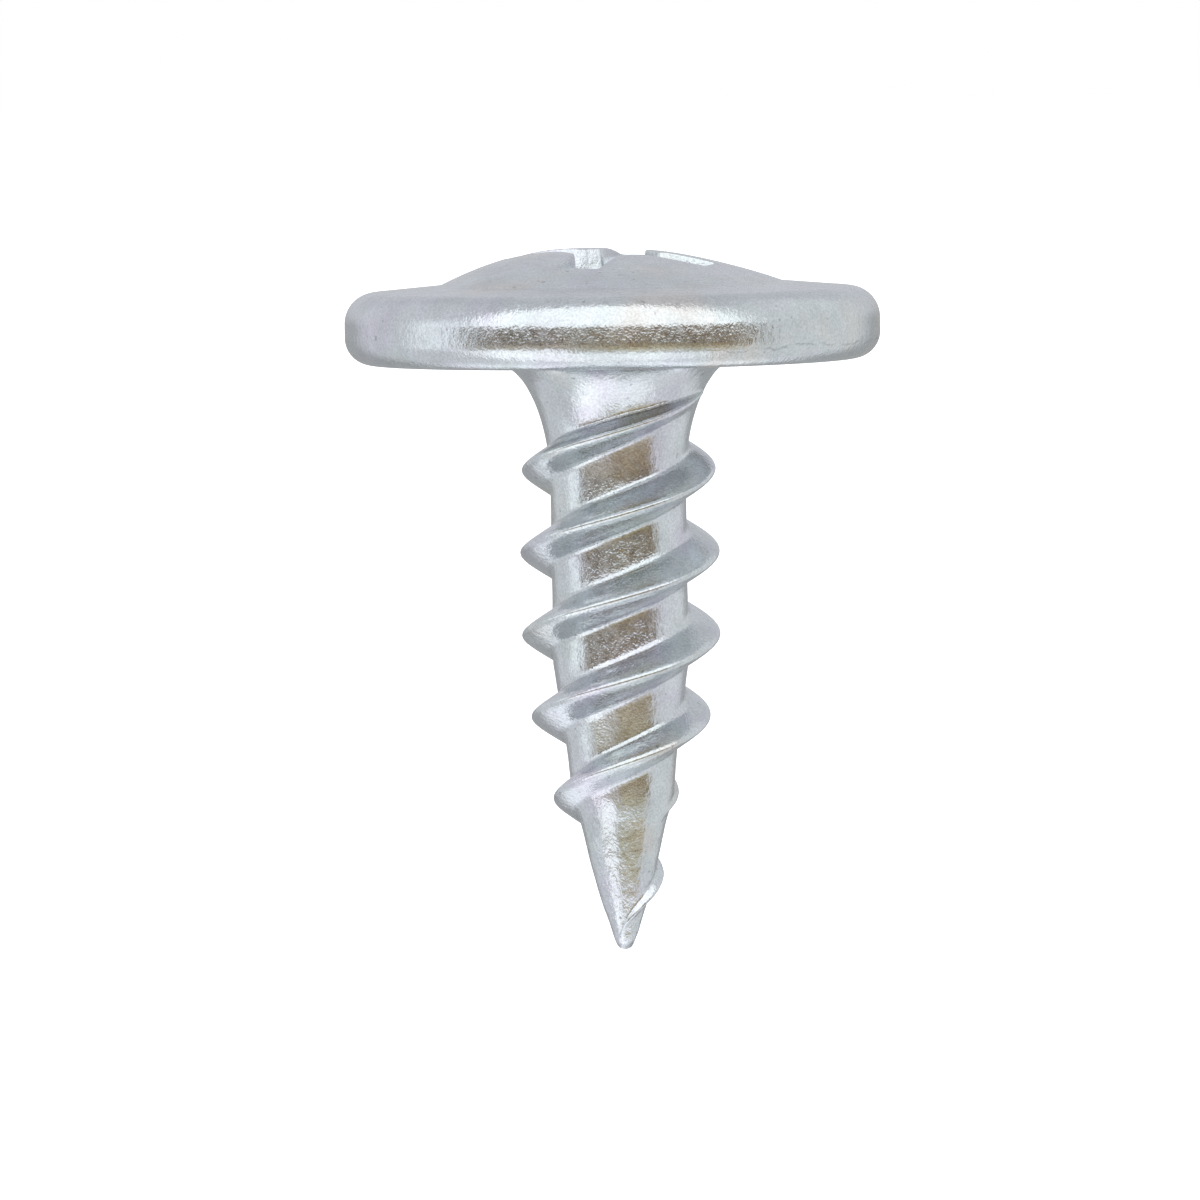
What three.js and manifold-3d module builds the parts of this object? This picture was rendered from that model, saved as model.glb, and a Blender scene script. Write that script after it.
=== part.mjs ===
// A wafer-head screw: a wide flanged head with a cross recess, a flared neck, and a right-hand
// twin-start thread that runs out on a sharp point. One cold-formed piece, no moving parts.
// Millimetres, +Z up. The origin is on the axis, in the plane of the head's flat underside,
// and the shank points down, towards -Z.
import * as THREE from "three";
import { mergeVertices } from "three/addons/utils/BufferGeometryUtils.js";
import Module from "manifold-3d";

// Head
const HEAD_RADIUS = 5.56;
const RIM_TOP_ROUNDING = 0.65;
const RIM_BOTTOM_ROUNDING = 0.56;
const FLANGE_EDGE_HEIGHT = 1.5;
const DOME_BASE_RADIUS = 3.57;
const DOME_BASE_HEIGHT = 1.62;
const DOME_SPHERE_RADIUS = 9;
const HEAD_HEIGHT = 2.29;
const DOME_RINGS = [DOME_BASE_RADIUS, 3.15, 2.7];

// Neck, shank and point
const NECK_RADIUS = 2.5;
const NECK_LENGTH = 2.5;
const CORE_RADIUS = 1.42;
const TAPER_START = 6.2;
const LENGTH = 12.27;

// The outline of the point between the tip and the plain core: [radius, depth below the head]
const POINT_OUTLINE = [
  [0.3, 11.75],
  [0.57, 10.85],
  [0.93, 9.5],
  [1.17, 8.1],
  [1.34, 6.9],
];

// Thread: two starts, half a turn apart. They begin alike on the neck and end differently on the
// point. A crest is a list of [depth below the head, radius], straight in between.
const LEAD = 3.44;
const THREAD_RADIUS = 2.06;
const FLANK_ANGLE = THREE.MathUtils.degToRad(33);
const FIRST_CREST_DEPTH = 0.52;
const RUN_IN = [
  [0, 1.6],
  [0.55, 1.82],
  [1.4, 1.99],
  [2.25, THREAD_RADIUS],
  [5.7, THREAD_RADIUS],
];
const CRESTS = [
  [...RUN_IN, [7.4, 1.86], [9.1, 1.47], [10.8, 0.83], [11.8, 0.34], [LENGTH, 0]],
  [...RUN_IN, [7.4, 1.89], [9.1, 1.17], [9.9, 0.72], [LENGTH, 0]],
];

// Cross recess, size 2, struck a little off the screw's axis
const RECESS_CENTRE = [-0.14, -0.08];
const RECESS_TURN = THREE.MathUtils.degToRad(-15);
const RECESS_RADIUS = 2.2;
const RECESS_TAPER = THREE.MathUtils.degToRad(26.5);
const RECESS_WALL_DRAFT = THREE.MathUtils.degToRad(5.75);
const WING_FLOOR_RADIUS = 1.145;
const WING_MOUTH_WIDTH = 0.82;
const CORE_MOUTH_RADIUS = 1.56;
const CORE_FLOOR_RADIUS = 1.05;
const RECESS_FLOOR_RADIUS = 0.4;
const RECESS_FLOOR_SLOPE = THREE.MathUtils.degToRad(28);

// Facets. One step of height is what the thread climbs from one column of vertices to the next,
// so rows that follow the thread still meet the level rings at its two ends.
const COLUMNS = 48;
const STEP = LEAD / COLUMNS;
const PITCH_STEPS = COLUMNS / CRESTS.length;
const THREAD_ROWS = [0, 1, 4, 7, 12, 18, 21];
const TOP_STEP = 6;
const BOTTOM_STEP = -159;
const ARC_STEPS = 6;

const wasm = await Module();
wasm.setup();

// A closed three.js geometry as a manifold solid.
function toSolid(geometry) {
  const bare = geometry.clone();
  bare.deleteAttribute("normal");
  bare.deleteAttribute("uv");
  const merged = mergeVertices(bare, 1e-4);
  const corners = merged.index.array;
  const triangles = [];
  for (let i = 0; i < corners.length; i += 3) {
    const [a, b, c] = corners.slice(i, i + 3);
    if (a !== b && b !== c && c !== a) {
      triangles.push(a, b, c);
    }
  }
  return new wasm.Manifold(
    new wasm.Mesh({
      numProp: 3,
      vertProperties: new Float32Array(merged.attributes.position.array),
      triVerts: new Uint32Array(triangles),
    }),
  );
}

function toGeometry(solid) {
  const mesh = solid.getMesh();
  const geometry = new THREE.BufferGeometry();
  geometry.setAttribute("position", new THREE.BufferAttribute(new Float32Array(mesh.vertProperties), 3));
  geometry.setIndex(new THREE.BufferAttribute(new Uint32Array(mesh.triVerts), 1));
  geometry.computeVertexNormals();
  return geometry;
}

// The value at a place in a list of [place, value] with rising places, straight in between.
function valueAt(list, place) {
  const last = list[list.length - 1][0];
  const held = THREE.MathUtils.clamp(place, list[0][0], last);
  const next = Math.max(1, list.findIndex(([listed]) => listed >= held));
  const [placeBefore, before] = list[next - 1];
  const [placeAfter, after] = list[next];
  return THREE.MathUtils.mapLinear(held, placeBefore, placeAfter, before, after);
}

// The domed top is a sphere with a flat crown.
const DOME_CENTRE = DOME_BASE_HEIGHT - Math.sqrt(DOME_SPHERE_RADIUS ** 2 - DOME_BASE_RADIUS ** 2);
const CROWN_RADIUS = Math.sqrt(DOME_SPHERE_RADIUS ** 2 - (HEAD_HEIGHT - DOME_CENTRE) ** 2);

// The height of the dome above the underside, at a radius from the axis.
function domeHeight(radius) {
  return Math.min(HEAD_HEIGHT, DOME_CENTRE + Math.sqrt(DOME_SPHERE_RADIUS ** 2 - radius ** 2));
}

// The shank without its thread, from the tip up to the head, as [height, radius].
function coreOutline() {
  const taper = [[0, LENGTH], ...POINT_OUTLINE, [CORE_RADIUS, TAPER_START]];
  const point = new THREE.SplineCurve(taper.map(([radius, depth]) => new THREE.Vector2(radius, -depth)));
  const neck = new THREE.CubicBezierCurve(
    new THREE.Vector2(CORE_RADIUS, -NECK_LENGTH),
    new THREE.Vector2(CORE_RADIUS, -1.47),
    new THREE.Vector2(1.78, -0.12),
    new THREE.Vector2(NECK_RADIUS, 0),
  );
  return [...point.getPoints(40), ...neck.getPoints(20)].map(({ x, y }) => [y, x]);
}

const CORE = coreOutline();

// The height of a step. The first start's crest lies between steps 0 and 1 in column 0.
function stepHeight(step) {
  return (step - 0.5) * STEP - FIRST_CREST_DEPTH;
}

// The threaded shank's radius at a step and a column.
function shankRadius(step, column) {
  const height = stepHeight(step);
  const core = valueAt(CORE, height);
  const fromFirstCrest = step - column - 0.5;
  const crestNumber = Math.round(fromFirstCrest / PITCH_STEPS);
  const aside = (fromFirstCrest - crestNumber * PITCH_STEPS) * STEP;
  const crest = CRESTS[Math.abs(crestNumber % CRESTS.length)];
  const crestRadius = valueAt(crest, aside - height);
  const down = Math.max(0, Math.abs(aside) - STEP / 2) / Math.tan(FLANK_ANGLE);
  return Math.max(core, crestRadius - down);
}

// The steps of the threaded shank's rows in column 0. A row climbs one step in each column, held
// between the two level rings that end the threaded length.
function threadRows() {
  const rows = [];
  for (let step = BOTTOM_STEP - COLUMNS; step <= TOP_STEP; step += 1) {
    const place = THREE.MathUtils.euclideanModulo(step, PITCH_STEPS);
    if (step === BOTTOM_STEP - COLUMNS || step === TOP_STEP || THREAD_ROWS.includes(place)) {
      rows.push(step);
    }
  }
  return rows;
}

// Half of the head's outline, from the top of the neck over the rim to the middle of the dome.
function headOutline() {
  const outline = new THREE.Path();
  outline.moveTo(NECK_RADIUS, 0);
  outline.lineTo(HEAD_RADIUS - RIM_BOTTOM_ROUNDING, 0);
  const bottomCentre = HEAD_RADIUS - RIM_BOTTOM_ROUNDING;
  outline.absarc(bottomCentre, RIM_BOTTOM_ROUNDING, RIM_BOTTOM_ROUNDING, -Math.PI / 2, 0, false);
  const topCentre = HEAD_RADIUS - RIM_TOP_ROUNDING;
  const topCentreHeight = FLANGE_EDGE_HEIGHT - RIM_TOP_ROUNDING;
  outline.absarc(topCentre, topCentreHeight, RIM_TOP_ROUNDING, 0, Math.PI / 2, false);
  for (const radius of [...DOME_RINGS, CROWN_RADIUS, 0]) {
    outline.lineTo(radius, domeHeight(radius));
  }
  return outline.getPoints(ARC_STEPS);
}

// The whole screw before its recess: a lathe whose threaded rows are then wound into place.
function blank() {
  const tip = new THREE.Vector2(0, -LENGTH);
  const rows = threadRows();
  const threaded = rows.map((step) => new THREE.Vector2(CORE_RADIUS, stepHeight(step)));
  const outline = [tip, ...threaded, ...headOutline()];
  const geometry = new THREE.LatheGeometry(outline, COLUMNS, Math.PI / 2).rotateX(Math.PI / 2);
  const place = geometry.attributes.position;
  for (let column = 0; column <= COLUMNS; column += 1) {
    const turn = (2 * Math.PI * column) / COLUMNS;
    rows.forEach((row, index) => {
      const step = THREE.MathUtils.clamp(row + column, BOTTOM_STEP, TOP_STEP);
      const radius = shankRadius(step, column);
      const vertex = column * outline.length + 1 + index;
      place.setXYZ(vertex, radius * Math.cos(turn), radius * Math.sin(turn), stepHeight(step));
    });
  }
  return geometry;
}

// A box that narrows downwards, from its mouth to its floor.
function taperedBox(mouth, floor, top, bottom) {
  const box = new THREE.BoxGeometry(1, 1, 1);
  const place = box.attributes.position;
  for (let i = 0; i < place.count; i += 1) {
    const [length, width] = place.getZ(i) > 0 ? mouth : floor;
    place.setXYZ(i, place.getX(i) * length, place.getY(i) * width, place.getZ(i) > 0 ? top : bottom);
  }
  return box;
}

// The cross-shaped punch that forms the recess: two crossed wings and a four-sided core, whose
// sides cut the corners between the wings.
function recessPunch() {
  const mouth = domeHeight(RECESS_RADIUS);
  const floor = mouth - (RECESS_RADIUS - WING_FLOOR_RADIUS) / Math.tan(RECESS_TAPER);
  const top = HEAD_HEIGHT + 0.5;
  const topRadius = RECESS_RADIUS + (top - mouth) * Math.tan(RECESS_TAPER);
  const draft = 2 * Math.tan(RECESS_WALL_DRAFT);
  const topWidth = WING_MOUTH_WIDTH + (top - mouth) * draft;
  const floorWidth = WING_MOUTH_WIDTH - (mouth - floor) * draft;
  const wing = taperedBox([2 * topRadius, topWidth], [2 * WING_FLOOR_RADIUS, floorWidth], top, floor);
  const floorDrop = (CORE_FLOOR_RADIUS - RECESS_FLOOR_RADIUS) * Math.tan(RECESS_FLOOR_SLOPE);
  const coreOutline = [
    new THREE.Vector2(0, floor - floorDrop),
    new THREE.Vector2(RECESS_FLOOR_RADIUS, floor - floorDrop),
    new THREE.Vector2(CORE_FLOOR_RADIUS, floor),
    new THREE.Vector2(CORE_MOUTH_RADIUS, top),
    new THREE.Vector2(0, top),
  ];
  const core = new THREE.LatheGeometry(coreOutline, 4).rotateX(Math.PI / 2);
  const crossWing = wing.clone().rotateZ(Math.PI / 2);
  const pieces = [wing, crossWing, core];
  return pieces.map((piece) => piece.rotateZ(RECESS_TURN).translate(...RECESS_CENTRE, 0));
}

let screwSolid = toSolid(blank());
for (const piece of recessPunch()) {
  screwSolid = screwSolid.subtract(toSolid(piece));
}

const zincPlate = new THREE.MeshStandardMaterial({ color: 0xb4b9bd, roughness: 0.32, metalness: 1 });
const screw = new THREE.Mesh(toGeometry(screwSolid), zincPlate);
screw.name = "screw";

const part = new THREE.Group();
part.add(screw);

export default part;
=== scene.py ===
"""A zinc-plated wafer-head screw with a cross recess and a twin-start thread, in a white studio.

Lengths are millimetres here, turned into metres when a mesh or the camera is made. The frame is
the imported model's: the axis is Z, the head's underside is at zero and the point is down.
"""
import math

import bpy
import numpy as np
from mathutils import Matrix, Vector, noise


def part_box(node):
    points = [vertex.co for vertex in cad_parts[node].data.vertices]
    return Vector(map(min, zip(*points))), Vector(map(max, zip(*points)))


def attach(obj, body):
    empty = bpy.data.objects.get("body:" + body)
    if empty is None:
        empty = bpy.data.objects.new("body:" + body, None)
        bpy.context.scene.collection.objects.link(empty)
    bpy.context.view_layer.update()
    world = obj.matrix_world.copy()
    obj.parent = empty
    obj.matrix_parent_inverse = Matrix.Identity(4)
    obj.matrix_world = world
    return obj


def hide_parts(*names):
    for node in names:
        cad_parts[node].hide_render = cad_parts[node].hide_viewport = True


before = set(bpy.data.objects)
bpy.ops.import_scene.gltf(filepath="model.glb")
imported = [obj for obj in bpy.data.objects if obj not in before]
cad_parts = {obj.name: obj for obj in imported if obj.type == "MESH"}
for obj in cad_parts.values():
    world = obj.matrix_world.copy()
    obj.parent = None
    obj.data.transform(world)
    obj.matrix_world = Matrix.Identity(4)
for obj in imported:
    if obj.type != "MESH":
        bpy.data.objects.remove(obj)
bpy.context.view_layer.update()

MM = 0.001
low, high = (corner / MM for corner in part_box("screw"))

# Head, from the frame and the outline of its rim and dome. It sits a little to the left of the
# shank, and its dome is a little higher at the left and the back.
HEAD_RADIUS = high.x
HEAD_HEIGHT = high.z
RIM_TOP_ROUNDING = 0.65
RIM_BOTTOM_ROUNDING = 0.56
FLANGE_EDGE_HEIGHT = 1.5
DOME_BASE_RADIUS = 3.57
DOME_BASE_HEIGHT = 1.62
DOME_SPHERE_RADIUS = 9.0
CROWN_BLEND = 0.03
DOME_LEAN = (-0.06, 0.08)
DOME_LEAN_START = 0.5
HEAD_OFFSET = -0.07

# Shank and point: the outline without the thread, as (depth below the head, radius)
LENGTH = -low.z
NECK_RADIUS = 2.5
NECK_LENGTH = 2.5
CORE_RADIUS = 1.41
NECK_CURVE = [(CORE_RADIUS, -NECK_LENGTH), (CORE_RADIUS, -1.47), (1.78, -0.12), (NECK_RADIUS, 0.0)]
POINT_OUTLINE = [
    (6.3, CORE_RADIUS),
    (7.2, 1.28),
    (8.2, 1.14),
    (9.0, 1.06),
    (9.7, 0.87),
    (10.3, 0.735),
    (11.0, 0.555),
    (11.75, 0.32),
    (12.1, 0.2),
    (12.24, 0.11),
    (LENGTH, 0.0),
]

# Thread: two starts half a turn apart, each with its crest as (depth, radius). The second one
# dies out on the point, where the first runs on to the tip. The fillet at its root grows over the
# first depths below the head, and shrinks with the core on the point.
LEAD = 3.445
FIRST_CREST_DEPTH = 0.519
FLANK_ANGLE = math.radians(26.2)
CREST_ROUNDING = 0.123
ROOT_BLEND = 0.045
ROOT_BLEND_DEPTHS = (0.35, 1.1)
ROOT_BLEND_CORE = 0.5
RUN_IN = [(0.0, 1.6), (0.55, 1.82), (1.4, 1.96)]
LONG_START = [(2.25, 2.0), (3.95, 2.09), (5.7, 2.05), (7.4, 1.85), (9.1, 1.45), (10.8, 0.82)]
SHORT_START = [(2.25, 2.03), (3.95, 2.06), (5.7, 2.08), (7.4, 1.88), (9.1, 1.15), (9.9, 0.6)]
CRESTS = [
    [*RUN_IN, *LONG_START, (11.8, 0.32), (LENGTH, -0.1)],
    [*RUN_IN, *SHORT_START, (10.6, 0.1), (LENGTH, -0.6)],
]

# Cross recess, size 2. Its radius and widths are at the mouth.
RECESS_CENTRE = (-0.03, -0.13)
RECESS_TURN = math.radians(-18)
RECESS_RADIUS = 2.2
RECESS_TAPER = math.tan(math.radians(26.5))
RECESS_DRAFT = math.tan(math.radians(5.75))
WING_HALF_WIDTH = 0.44
WING_FLOOR_RADIUS = 1.145
RECESS_CORE = 1.34
RECESS_FLOOR_DROP = 0.35
WING_CORNER_ROUNDING = 0.12
CORE_CORNER_ROUNDING = 0.16
LIP_ROUNDING = 0.035
LIP_EDGE = LIP_ROUNDING * 1.15

# Unevenness of the shank, as (waves in a millimetre, height), and the height added at the tip. It
# fades towards the axis within the last radius.
COARSE_WEAR = (1.3, 0.006)
FINE_WEAR = (4.0, 0.0025)
FINE_WEAR_SHIFT = Vector((7, 3, 5))
TIP_WEAR = 0.02
TIP_WEAR_HEIGHTS = (-10.8, -12.0)
WEAR_FADE_RADIUS = 0.3

# Mesh grid. A step is the height that the thread climbs from one column to the next. The thread's
# rows end in level rings, at a depth below the head and at a height above the tip. A share says how
# far a ring is on its way across a surface.
COLUMNS = 288
STEP = LEAD / COLUMNS
PITCH_STEPS = COLUMNS // len(CRESTS)
STEPS_FROM_CREST = [3, 6, 10, 14, 19, 25, 31, 37, 44, 52, 62]
THREAD_TOP_DEPTH = 0.35
TIP_RING_HEIGHT = 0.02
TOP_STEP = round((FIRST_CREST_DEPTH - THREAD_TOP_DEPTH) / STEP)
BOTTOM_STEP = round((FIRST_CREST_DEPTH - LENGTH + TIP_RING_HEIGHT) / STEP)
LEAST_RING_GAP = 0.01
NECK_SEGMENTS = 60
UNDERSIDE_RINGS = 8
RIM_BOTTOM_ANGLES = np.radians(np.linspace(-90, 0, 25)[1:])
RIM_TOP_ANGLES = np.radians(np.linspace(0, 88, 22))
FLANGE_SHARES = [0.1, 0.25, 0.4, 0.55, 0.7, 0.82, 0.91, 0.96, 0.985]
DOME_RING_RADII = [3.54, 3.5, 3.42, 3.3, 3.15, 3.0]
DOME_TO_LIP_SHARES = [0.12, 0.25, 0.38, 0.5, 0.62, 0.73, 0.83, 0.91, 0.96, 1.0]
LIP_ANGLES = np.radians([0, 18, 36, 54, 72, 90])
RECESS_WALL_SHARES = [0.08, 0.18, 0.3, 0.42, 0.54, 0.66, 0.78, 0.88, 0.95, 1.0]
RECESS_FLOOR_SHARES = [0.94, 0.85, 0.7, 0.52, 0.34, 0.17]

# Columns along half a wing of the recess: its end, its corner, its side, the corner with the core
# and half of the core's side. The first wing's middle is at the column nearest to its direction.
HALF_WING_PARTS = [7, 6, 14, 4, 5]
RECESS_COLUMN = round(RECESS_TURN / (2 * math.pi) * COLUMNS)

# Zinc plate: the parting line that the dies left round the rim, and the depths of its relief
PARTING_LINE_HEIGHTS = (0.31, 0.47)
PARTING_LINE_HALF_WIDTH = 0.03
STREAK_DEPTH = 0.011
GRAIN_DEPTH = 0.0045

# Camera and floor
CAMERA_DISTANCE = 178.5
CAMERA_RISE = math.radians(3.65)
CAMERA_ROLL = math.radians(-0.9)
CAMERA_TARGET = Vector((-0.416, 0.0, (low.z + high.z) / 2 + 0.02))
VIEW_ANGLE = math.radians(8.0)
SENSOR_WIDTH = 36.0
NEAREST_CLIP = 10
FLOOR_SIDE = 6000


def smooth_step(low_end, high_end, value):
    share = np.clip((value - low_end) / (high_end - low_end), 0, 1)
    return share * share * (3 - 2 * share)


def smooth_curve(points):
    """A curve through points of rising x, smooth and without overshoot, as a function of x."""
    x, y = (np.array(values, float) for values in zip(*points))
    slope = np.diff(y) / np.diff(x)
    tangent = np.concatenate([slope[:1], np.zeros(len(x) - 2), slope[-1:]])
    same_way = slope[:-1] * slope[1:] > 0
    both = slope[:-1][same_way], slope[1:][same_way]
    tangent[1:-1][same_way] = 2 * both[0] * both[1] / (both[0] + both[1])

    def value(places):
        held = np.clip(places, x[0], x[-1])
        part = np.clip(np.searchsorted(x, held) - 1, 0, len(x) - 2)
        width = x[part + 1] - x[part]
        t = (held - x[part]) / width
        ends = y[part] * (1 + 2 * t) * (1 - t) ** 2 + y[part + 1] * t * t * (3 - 2 * t)
        return ends + width * t * (1 - t) * (tangent[part] * (1 - t) - tangent[part + 1] * t)

    return value


def bezier(corners, count):
    t = np.linspace(0, 1, count)[:, None]
    a, b, c, d = (np.array(corner) for corner in corners)
    return (1 - t) ** 3 * a + 3 * (1 - t) ** 2 * t * b + 3 * (1 - t) * t * t * c + t**3 * d


NECK_POINTS = bezier(NECK_CURVE, NECK_SEGMENTS)
point_radius = smooth_curve(POINT_OUTLINE)
crest_radius = [smooth_curve(crest) for crest in CRESTS]


def core_radius(height):
    neck = np.interp(height, NECK_POINTS[:, 1], NECK_POINTS[:, 0])
    return np.where(height > -NECK_LENGTH, neck, point_radius(-height))


def thread_radius(height, turns):
    """The shank's radius at a height, turns round from the +X side."""
    crests_up = (height + FIRST_CREST_DEPTH) / LEAD * len(CRESTS) - turns * len(CRESTS)
    nearest = np.round(crests_up)
    aside = (crests_up - nearest) * LEAD / len(CRESTS)
    depth = aside - height
    start = np.mod(nearest, len(CRESTS)).astype(int)
    crest = np.choose(start, [radius(depth) for radius in crest_radius])
    fall = np.hypot(aside, CREST_ROUNDING) - CREST_ROUNDING
    ridge = crest - fall / math.tan(FLANK_ANGLE)
    core = core_radius(height)
    blend = ROOT_BLEND * smooth_step(*ROOT_BLEND_DEPTHS, -height) * np.minimum(1, core / ROOT_BLEND_CORE)
    return (core + ridge + np.sqrt((core - ridge) ** 2 + blend**2)) / 2


DOME_CENTRE = DOME_BASE_HEIGHT - math.sqrt(DOME_SPHERE_RADIUS**2 - DOME_BASE_RADIUS**2)
UNDERSIDE_EDGE = HEAD_RADIUS - RIM_BOTTOM_ROUNDING
FLANGE_EDGE = HEAD_RADIUS - RIM_TOP_ROUNDING


def dome_height(x, y):
    """The dome's height, with its flattish crown and its slight lean."""
    radius = np.hypot(x, y)
    sphere = DOME_CENTRE + np.sqrt(DOME_SPHERE_RADIUS**2 - radius**2)
    crown = (sphere + HEAD_HEIGHT - np.hypot(sphere - HEAD_HEIGHT, CROWN_BLEND)) / 2
    share = np.clip((radius - DOME_LEAN_START) / (DOME_BASE_RADIUS - DOME_LEAN_START), 0, 1)
    lean = (DOME_LEAN[0] * x + DOME_LEAN[1] * y) / np.maximum(radius, 0.01)
    return crown + lean * np.sin(math.pi * share)


def head_outline():
    """From the neck round the rim to the dome's shoulder, as (radius, height)."""
    thread_top = TOP_STEP * STEP - FIRST_CREST_DEPTH
    neck = [(r, z) for r, z in NECK_POINTS[::2] if z > thread_top + LEAST_RING_GAP]
    underside = [(r, 0.0) for r in np.linspace(NECK_RADIUS, UNDERSIDE_EDGE, UNDERSIDE_RINGS + 1)[1:]]
    rim = []
    for angle in RIM_BOTTOM_ANGLES:
        radius = UNDERSIDE_EDGE + RIM_BOTTOM_ROUNDING * math.cos(angle)
        rim.append((radius, RIM_BOTTOM_ROUNDING * (1 + math.sin(angle))))
    for angle in RIM_TOP_ANGLES:
        radius = FLANGE_EDGE + RIM_TOP_ROUNDING * math.cos(angle)
        rim.append((radius, FLANGE_EDGE_HEIGHT - RIM_TOP_ROUNDING * (1 - math.sin(angle))))
    flange = []
    for share in FLANGE_SHARES:
        radius = FLANGE_EDGE + (DOME_BASE_RADIUS - FLANGE_EDGE) * share
        flange.append((radius, FLANGE_EDGE_HEIGHT + (DOME_BASE_HEIGHT - FLANGE_EDGE_HEIGHT) * share))
    dome = [(r, float(dome_height(r, 0))) for r in DOME_RING_RADII]
    return neck + underside + rim + flange + dome


def cross_outline(length, width, core):
    """The recess's outline for each column: half-length and half-width of a wing, and where the
    sides of the core would meet a wing's middle line. All may differ from column to column."""
    column = np.arange(COLUMNS) - RECESS_COLUMN
    quarter, inside = np.divmod(column, COLUMNS // 4)
    half = COLUMNS // 8
    mirrored = inside > half
    place = np.where(mirrored, 2 * half - inside, inside)
    bounds = np.cumsum([0, *HALF_WING_PARTS])
    end, corner, side, inner, flat = (
        np.clip((place - bounds[i]) / HALF_WING_PARTS[i], 0, 1) for i in range(5)
    )
    rounding = WING_CORNER_ROUNDING * np.minimum(1, width / WING_HALF_WIDTH)
    turn = corner * math.pi / 2
    tangent = CORE_CORNER_ROUNDING * math.tan(math.pi / 8)
    inner_turn = inner * math.pi / 4
    side_end = core - width + tangent
    x_corner = length - rounding * (1 - np.cos(turn))
    y_corner = width - rounding * (1 - np.sin(turn))
    x_side = length - rounding + (side_end - length + rounding) * side
    x_inner = side_end - CORE_CORNER_ROUNDING * np.sin(inner_turn)
    y_inner = width + CORE_CORNER_ROUNDING * (1 - np.cos(inner_turn))
    x_flat_start = side_end - CORE_CORNER_ROUNDING * math.sin(math.pi / 4)
    x_flat = x_flat_start + (core / 2 - x_flat_start) * flat
    conditions = [place <= bounds[1], place <= bounds[2], place <= bounds[3], place <= bounds[4]]
    x = np.select(conditions, [length, x_corner, x_side, x_inner], x_flat)
    y = np.select(conditions, [(width - rounding) * end, y_corner, width, y_inner], core - x_flat)
    x, y = np.where(mirrored, y, x), np.where(mirrored, x, y)
    angle = quarter * math.pi / 2 + RECESS_TURN
    return (
        RECESS_CENTRE[0] + x * np.cos(angle) - y * np.sin(angle),
        RECESS_CENTRE[1] + x * np.sin(angle) + y * np.cos(angle),
    )


RECESS_MOUTH = float(dome_height(RECESS_RADIUS, 0))
RECESS_FLOOR = RECESS_MOUTH - (RECESS_RADIUS - WING_FLOOR_RADIUS) / RECESS_TAPER


def recess_outline(height, outwards):
    """The recess's outline at a height, moved outwards by a distance."""
    deep = RECESS_MOUTH - height
    length = RECESS_RADIUS - deep * RECESS_TAPER + outwards
    width = WING_HALF_WIDTH - deep * RECESS_DRAFT + outwards
    core = RECESS_CORE - deep * RECESS_DRAFT * math.sqrt(2) + outwards * math.sqrt(2)
    return cross_outline(length, width, core)


def recess_rings():
    """Rings of (x, y, z) from the dome's shoulder into the recess, down to its floor."""
    turns = 2 * math.pi * np.arange(COLUMNS) / COLUMNS
    circle = DOME_RING_RADII[-1] * np.cos(turns), DOME_RING_RADII[-1] * np.sin(turns)
    # the mouth's outline and the dome's height along it depend on each other
    mouth = np.full(COLUMNS, RECESS_MOUTH)
    for _ in range(3):
        mouth = dome_height(*recess_outline(mouth, 0.0))
    rings = []
    lip_edge = recess_outline(mouth, LIP_EDGE)
    for share in DOME_TO_LIP_SHARES:
        x, y = (a + (b - a) * share for a, b in zip(circle, lip_edge))
        rings.append((x, y, dome_height(x, y)))
    for angle in LIP_ANGLES:
        x, y = recess_outline(mouth, LIP_ROUNDING * (1 - math.sin(angle)))
        rings.append((x, y, dome_height(x, y) - LIP_ROUNDING * (1 - math.cos(angle))))
    lip_height = rings[-1][2]
    for share in RECESS_WALL_SHARES:
        height = lip_height + (RECESS_FLOOR - lip_height) * share
        rings.append((*recess_outline(height, 0.0), height))
    x, y, height = rings[-1]
    for share in RECESS_FLOOR_SHARES:
        drop = RECESS_FLOOR_DROP * smooth_step(1.0, 0.25, share)
        inward = [c + (v - c) * share for c, v in zip(RECESS_CENTRE, (x, y))]
        rings.append((*inward, height - drop))
    return rings


def thread_steps():
    """The heights, in steps, of the threaded rows in column 0: dense near the crests."""
    within = [0, PITCH_STEPS // 2, *STEPS_FROM_CREST, *(-s for s in STEPS_FROM_CREST)]
    places = {s % PITCH_STEPS for s in within}
    steps = range(BOTTOM_STEP - COLUMNS, TOP_STEP + 1)
    ends = (steps[0], steps[-1])
    return [s for s in steps if s in ends or s % PITCH_STEPS in places]


def wear(point):
    """Small unevenness of the shank's surface along its outward direction."""
    place = Vector(point)
    coarse_waves, coarse_height = COARSE_WEAR
    fine_waves, fine_height = FINE_WEAR
    fine_height += TIP_WEAR * smooth_step(*TIP_WEAR_HEIGHTS, place.z)
    coarse = noise.noise(place * coarse_waves) * coarse_height
    return coarse + noise.noise(place * fine_waves + FINE_WEAR_SHIFT) * fine_height


class Grid:
    """Collects points by key and the faces between rows of keys."""

    def __init__(self):
        self.numbers = {}
        self.points = []
        self.faces = []

    def number(self, key, point):
        if key not in self.numbers:
            self.numbers[key] = len(self.points)
            self.points.append(point)
        return self.numbers[key]

    def join(self, below, above):
        """Faces between two closed rows of numbers. Corners that coincide are dropped."""
        for i in range(COLUMNS):
            corners = [below[i], below[i + 1], above[i + 1], above[i]]
            face = [c for k, c in enumerate(corners) if c != corners[k - 1]]
            if len(set(face)) > 2:
                self.faces.append(face)


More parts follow.
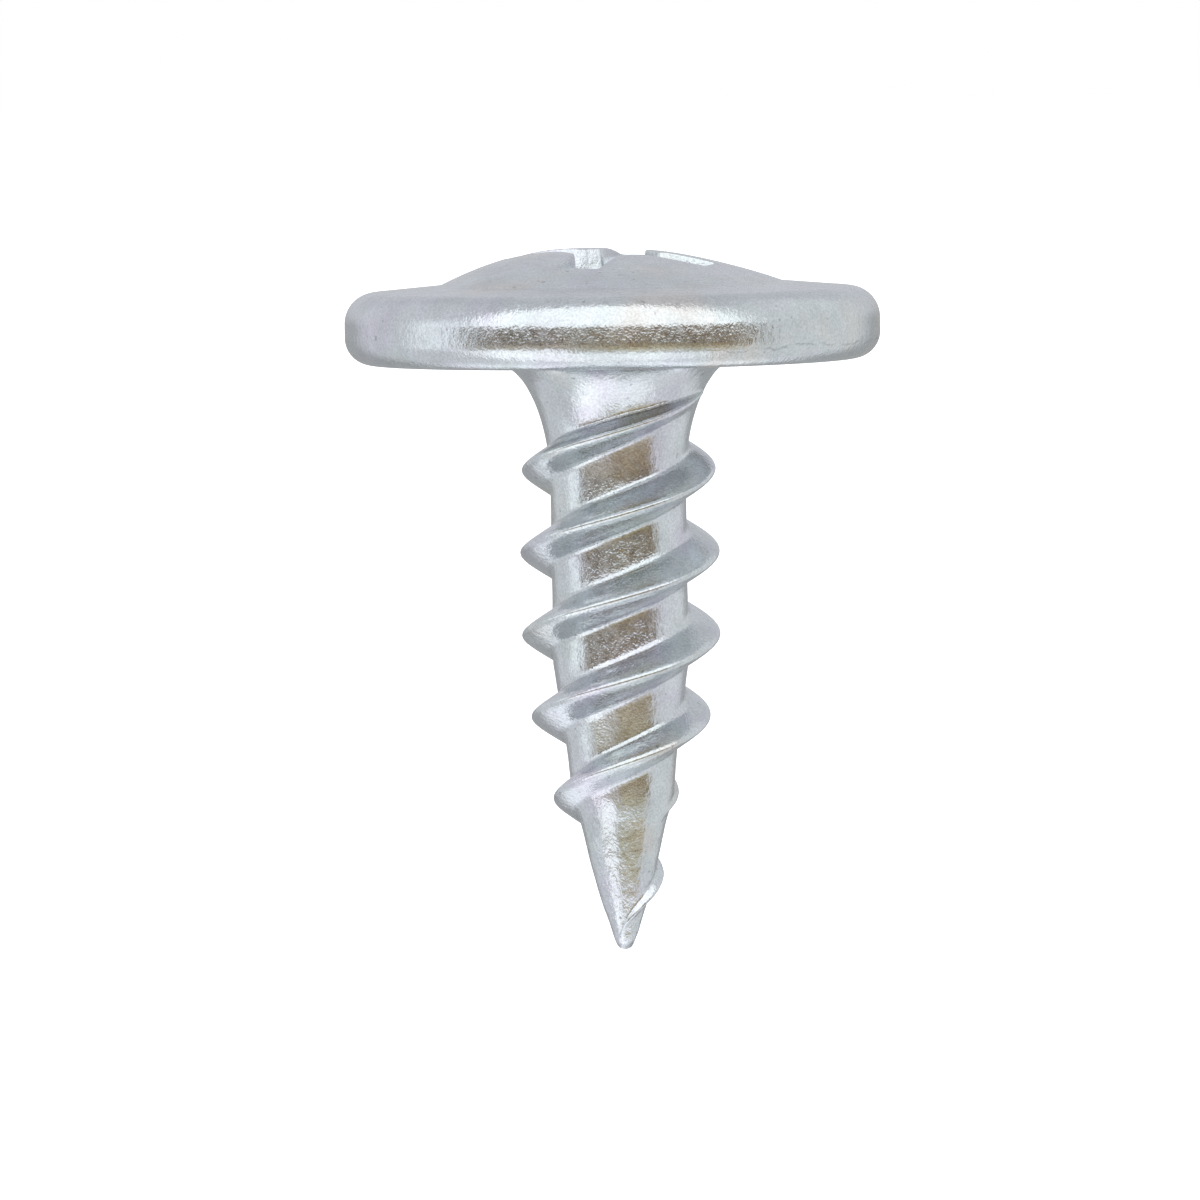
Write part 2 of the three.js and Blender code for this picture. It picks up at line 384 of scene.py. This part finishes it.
def thread_rows(grid):
    """Rows that wind up with the thread, held between the level rings at its two ends."""
    rows = []
    for row_step in thread_steps():
        columns = np.arange(COLUMNS + 1)
        steps = np.clip(row_step + columns, BOTTOM_STEP, TOP_STEP)
        heights = steps * STEP - FIRST_CREST_DEPTH
        turns = columns / COLUMNS
        radii = thread_radius(heights, turns)
        row = []
        for column, step, height, radius in zip(columns, steps, heights, radii):
            angle = 2 * math.pi * column / COLUMNS
            across, along = math.cos(angle), math.sin(angle)
            worn = wear((radius * across, radius * along, height))
            radius += worn * min(1, radius / WEAR_FADE_RADIUS)
            point = (radius * across, radius * along, height)
            row.append(grid.number((int(column) % COLUMNS, int(step)), point))
        rows.append(row)
    return rows


def head_rings():
    """Rings of (x, y, z) from the neck over the rim and into the recess. Those up to the underside's
    edge lead from the shank's axis to the head's own."""
    turns = 2 * math.pi * np.arange(COLUMNS) / COLUMNS
    rings = []
    for radius, height in head_outline():
        x, y = radius * np.cos(turns), radius * np.sin(turns)
        is_dome = radius <= DOME_BASE_RADIUS and height > FLANGE_EDGE_HEIGHT
        z = dome_height(x, y) if is_dome else np.full(COLUMNS, height)
        share = 1.0 if height > 0 else smooth_step(CORE_RADIUS, UNDERSIDE_EDGE, radius)
        rings.append((x + HEAD_OFFSET * share, y, z))
    return rings + [(x + HEAD_OFFSET, y, z) for x, y, z in recess_rings()]


def head_rows(grid):
    rows = []
    for level, ring in enumerate(head_rings()):
        row = [grid.number(("head", level, column), point) for column, point in enumerate(zip(*ring))]
        rows.append(row + row[:1])
    return rows


def screw_mesh():
    """The whole screw as one closed mesh, from the tip up and over the head into the recess."""
    grid = Grid()
    rows = thread_rows(grid) + head_rows(grid)
    for below, above in zip(rows, rows[1:]):
        grid.join(below, above)
    tip = grid.number("tip", (0, 0, -LENGTH))
    bottom, top = rows[0], rows[-1]
    floor_height = grid.points[top[0]][2]
    middle = grid.number("floor", (RECESS_CENTRE[0] + HEAD_OFFSET, RECESS_CENTRE[1], floor_height))
    for i in range(COLUMNS):
        grid.faces.append([tip, bottom[i + 1], bottom[i]])
        grid.faces.append([middle, top[i], top[i + 1]])
    mesh = bpy.data.meshes.new("screw_finish")
    mesh.from_pydata([Vector(p) * MM for p in grid.points], [], grid.faces)
    mesh.validate()
    mesh.polygons.foreach_set("use_smooth", [True] * len(mesh.polygons))
    return mesh


def node(tree, kind, **values):
    """A node with its settings, and with its inputs, by name or number, set to values or linked."""
    made = tree.nodes.new(kind)
    for name, value in values.items():
        if hasattr(made, name):
            setattr(made, name, value)
            continue
        key = int(name[1:]) if name[0] == "i" and name[1:].isdigit() else name.replace("_", " ")
        if isinstance(value, bpy.types.NodeSocket):
            tree.links.new(value, made.inputs[key])
        else:
            made.inputs[key].default_value = value
    return made


def calculator(tree):
    """A function that adds a maths node to the tree and gives its result."""

    def calc(operation, *inputs):
        values = {f"i{i}": value for i, value in enumerate(inputs)}
        return node(tree, "ShaderNodeMath", operation=operation, **values).outputs[0]

    return calc


def zinc_plate():
    """Bright zinc: weak tints, speckle, blotches and pits in its colour, and a relief of streaks along
    the screw, of fine grain and of a broken parting line round the right of the rim."""
    material = bpy.data.materials.new("zinc_plate")
    material.use_nodes = True
    tree = material.node_tree
    tree.nodes.clear()
    calc = calculator(tree)
    place = node(tree, "ShaderNodeTexCoord").outputs["Object"]
    mm = node(tree, "ShaderNodeVectorMath", operation="SCALE", i0=place, Scale=1 / MM).outputs[0]
    drawn = node(tree, "ShaderNodeVectorMath", operation="MULTIPLY", i0=mm, i1=(1, 1, 0.6)).outputs[0]
    x, y, z = node(tree, "ShaderNodeSeparateXYZ", Vector=mm).outputs

    def texture(scale, detail, roughness=0.5, vector=mm):
        made = node(
            tree, "ShaderNodeTexNoise", Vector=vector, Scale=scale, Detail=detail, Roughness=roughness
        )
        return made.outputs["Fac"]

    def scaled(value, start, end, at_start, at_end):
        made = node(tree, "ShaderNodeMapRange", Value=value, i1=start, i2=end, i3=at_start, i4=at_end)
        return made.outputs["Result"]

    tint = node(tree, "ShaderNodeValToRGB", Fac=texture(0.55, 2.0))
    violet, straw = tint.color_ramp.elements
    violet.position, violet.color = 0.3, (0.61, 0.60, 0.66, 1)
    straw.position, straw.color = 0.7, (0.64, 0.63, 0.61, 1)
    for position, color in [(0.42, (0.62, 0.64, 0.67, 1)), (0.55, (0.61, 0.65, 0.66, 1))]:
        tint.color_ramp.elements.new(position).color = color

    from_axis = calc("SQRT", calc("ADD", calc("MULTIPLY", x, x), calc("MULTIPLY", y, y)))
    on_rim = calc("GREATER_THAN", from_axis, UNDERSIDE_EDGE)
    line_height = scaled(texture(1.6, 4.0), 0.3, 0.7, *PARTING_LINE_HEIGHTS)
    from_line = calc("ABSOLUTE", calc("SUBTRACT", z, line_height))
    right_side = scaled(x, 1.2, 3.0, 0.0, 1.0)
    broken = calc("MULTIPLY", right_side, scaled(texture(2.5, 1.0), 0.4, 0.55, 0.2, 1.0))
    near_line = scaled(from_line, 0.0, PARTING_LINE_HALF_WIDTH, 1.0, 0.0)
    line = calc("MULTIPLY", near_line, calc("MULTIPLY", on_rim, broken))

    speckle = scaled(texture(20.0, 1.0), 0.3, 0.7, 0.91, 1.12)
    blotch = scaled(texture(1.4, 4.0), 0.3, 0.7, 0.93, 1.09)
    pits = scaled(texture(6.0, 1.0), 0.72, 0.78, 1.0, 0.7)
    shade = calc("MULTIPLY", calc("MULTIPLY", speckle, blotch), pits)
    shade = calc("MULTIPLY", shade, calc("SUBTRACT", 1.0, calc("MULTIPLY", line, 0.25)))
    plate = node(tree, "ShaderNodeVectorMath", operation="SCALE", i0=tint.outputs["Color"], Scale=shade)

    worn = scaled(z, -8.5, -10.5, 1.0, 2.0)
    streak_height = calc("MULTIPLY", texture(8.0, 3.0, 0.55, drawn), worn)
    streaks = node(
        tree, "ShaderNodeBump", Strength=1.0, Distance=STREAK_DEPTH * MM, Height=streak_height
    )
    grain_height = calc("SUBTRACT", texture(22.0, 1.0), line)
    grain = node(
        tree,
        "ShaderNodeBump",
        Strength=1.0,
        Distance=GRAIN_DEPTH * MM,
        Height=grain_height,
        Normal=streaks.outputs["Normal"],
    )
    shader = node(
        tree,
        "ShaderNodeBsdfPrincipled",
        Base_Color=plate.outputs[0],
        Metallic=1.0,
        Roughness=scaled(texture(5.0, 3.0), 0.35, 0.65, 0.12, 0.24),
        Normal=grain.outputs["Normal"],
    )
    node(tree, "ShaderNodeOutputMaterial", Surface=shader.outputs["BSDF"])
    return material


def studio():
    """The world: a grey room with a softbox above the front, a brown table edge below it, a white
    sweep and a strip light at the left. It is painted by direction, in degrees: azimuth 0 is the
    front, and the right is positive. The camera sees plain white behind the screw."""
    world = bpy.data.worlds.new("studio")
    bpy.context.scene.world = world
    world.use_nodes = True
    tree = world.node_tree
    tree.nodes.clear()
    way = node(tree, "ShaderNodeTexCoord").outputs["Generated"]
    x, y, z = node(tree, "ShaderNodeSeparateXYZ", Vector=way).outputs
    calc = calculator(tree)
    azimuth = calc("DEGREES", calc("ARCTAN2", x, calc("MULTIPLY", y, -1.0)))
    elevation = calc("DEGREES", calc("ARCSINE", z))

    def rise(value, start, end):
        made = node(
            tree,
            "ShaderNodeMapRange",
            interpolation_type="SMOOTHSTEP",
            Value=value,
            i1=start,
            i2=end,
            i3=0.0,
            i4=1.0,
        )
        return made.outputs["Result"]

    def within(value, low_end, high_end, soft):
        up = rise(value, low_end - soft, low_end + soft)
        down = rise(value, high_end + soft, high_end - soft)
        return calc("MULTIPLY", up, down)

    def mix(share, below, above):
        made = node(tree, "ShaderNodeMix", data_type="RGBA", i0=share, i6=below, i7=above)
        return made.outputs[2]

    def panel(below, color, azimuths, elevations, soft):
        across = within(azimuth, *azimuths, soft[0])
        upright = within(elevation, *elevations, soft[1])
        above = color if isinstance(color, bpy.types.NodeSocket) else (*color, 1)
        return mix(calc("MULTIPLY", across, upright), below, above)

    def mottled(dark, light, scale):
        noise_value = node(tree, "ShaderNodeTexNoise", Vector=way, Scale=scale, Detail=2.0)
        return mix(rise(noise_value.outputs["Fac"], 0.44, 0.6), (*dark, 1), (*light, 1))

    all_round = (-400, 400)
    behind = [(140, 400), (-400, -140)]
    room = (0.66, 0.67, 0.71, 1)
    # the walls at the right and the left, and the ground below
    room = panel(room, (0.82, 0.84, 0.86), (60, 140), (-120, 60), (12, 12))
    room = panel(room, (0.76, 0.78, 0.81), (-145, -85), (-120, 50), (8, 12))
    room = panel(room, (0.98, 1.01, 1.05), all_round, (-120, -64), (1, 10))
    # the dim wall behind, and the white ground in front of it
    for azimuths in behind:
        room = panel(room, (0.44, 0.45, 0.46), azimuths, (-42, 2), (8, 6))
        room = panel(room, (1.2, 1.24, 1.3), azimuths, (-120, -46), (14, 6))
    # the white sweep in front, brighter at the left
    room = panel(room, (1.25, 1.29, 1.32), (-75, 62), (-78, -42), (12, 7))
    room = panel(room, (1.42, 1.45, 1.48), (-72, -24), (-95, -25), (10, 6))
    # the table's front: straw below, brown above, and a dark edge
    straw = mottled((0.58, 0.53, 0.40), (0.80, 0.73, 0.54), 9.0)
    room = panel(room, straw, (-14, 60), (-37, -12), (7, 5))
    room = panel(room, (0.58, 0.52, 0.44), (-62, 2), (-24, -3), (8, 4))
    brown = mottled((0.20, 0.15, 0.11), (0.66, 0.54, 0.34), 14.0)
    room = panel(room, brown, (-10, 60), (-22, -3), (9, 5))
    edge = mottled((0.11, 0.09, 0.09), (0.46, 0.37, 0.25), 18.0)
    room = panel(room, edge, (-62, 66), (-8, 2.6), (8, 2))
    # the softbox above the table, and the strip light at the left
    room = panel(room, (1.42, 1.46, 1.49), (-66, 60), (4.6, 95), (6, 2.2))
    room = panel(room, (1.12, 1.17, 1.20), (-94, -72), (-22, 20), (5, 8))
    seen = node(tree, "ShaderNodeLightPath").outputs["Is Camera Ray"]
    background = node(tree, "ShaderNodeBackground", Color=mix(seen, room, (1, 1, 1, 1)), Strength=1.0)
    node(tree, "ShaderNodeOutputWorld", Surface=background.outputs[0])


def floor():
    """A pale plane at the point's height, which the screw doesn't reflect."""
    mesh = bpy.data.meshes.new("floor")
    half = FLOOR_SIDE / 2
    corners = [(-half, -half, low.z), (half, -half, low.z), (half, half, low.z), (-half, half, low.z)]
    mesh.from_pydata([Vector(corner) * MM for corner in corners], [], [(0, 1, 2, 3)])
    plane = bpy.data.objects.new("floor", mesh)
    bpy.context.scene.collection.objects.link(plane)
    material = bpy.data.materials.new("pale_floor")
    material.use_nodes = True
    shader = material.node_tree.nodes["Principled BSDF"]
    shader.inputs["Base Color"].default_value = (0.9, 0.9, 0.9, 1)
    shader.inputs["Roughness"].default_value = 0.9
    shader.inputs["Emission Color"].default_value = (1, 1, 1, 1)
    shader.inputs["Emission Strength"].default_value = 0.7
    mesh.materials.append(material)
    plane.visible_glossy = False


def camera():
    data = bpy.data.cameras.new("camera")
    data.sensor_width = SENSOR_WIDTH
    data.lens = SENSOR_WIDTH / 2 / math.tan(VIEW_ANGLE / 2)
    data.clip_start = NEAREST_CLIP * MM
    made = bpy.data.objects.new("camera", data)
    bpy.context.scene.collection.objects.link(made)
    back = Vector((0, -math.cos(CAMERA_RISE), math.sin(CAMERA_RISE)))
    made.location = (CAMERA_TARGET + back * CAMERA_DISTANCE) * MM
    aim = (-back).to_track_quat("-Z", "Y").to_matrix()
    made.rotation_euler = (aim @ Matrix.Rotation(CAMERA_ROLL, 3, "Z")).to_euler()
    bpy.context.scene.camera = made


camera()
studio()
floor()
bpy.context.scene.view_settings.view_transform = "Standard"

screw = bpy.data.objects.new("screw_finish", screw_mesh())
bpy.context.scene.collection.objects.link(screw)
screw.data.materials.append(zinc_plate())
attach(screw, "root")
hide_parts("screw")
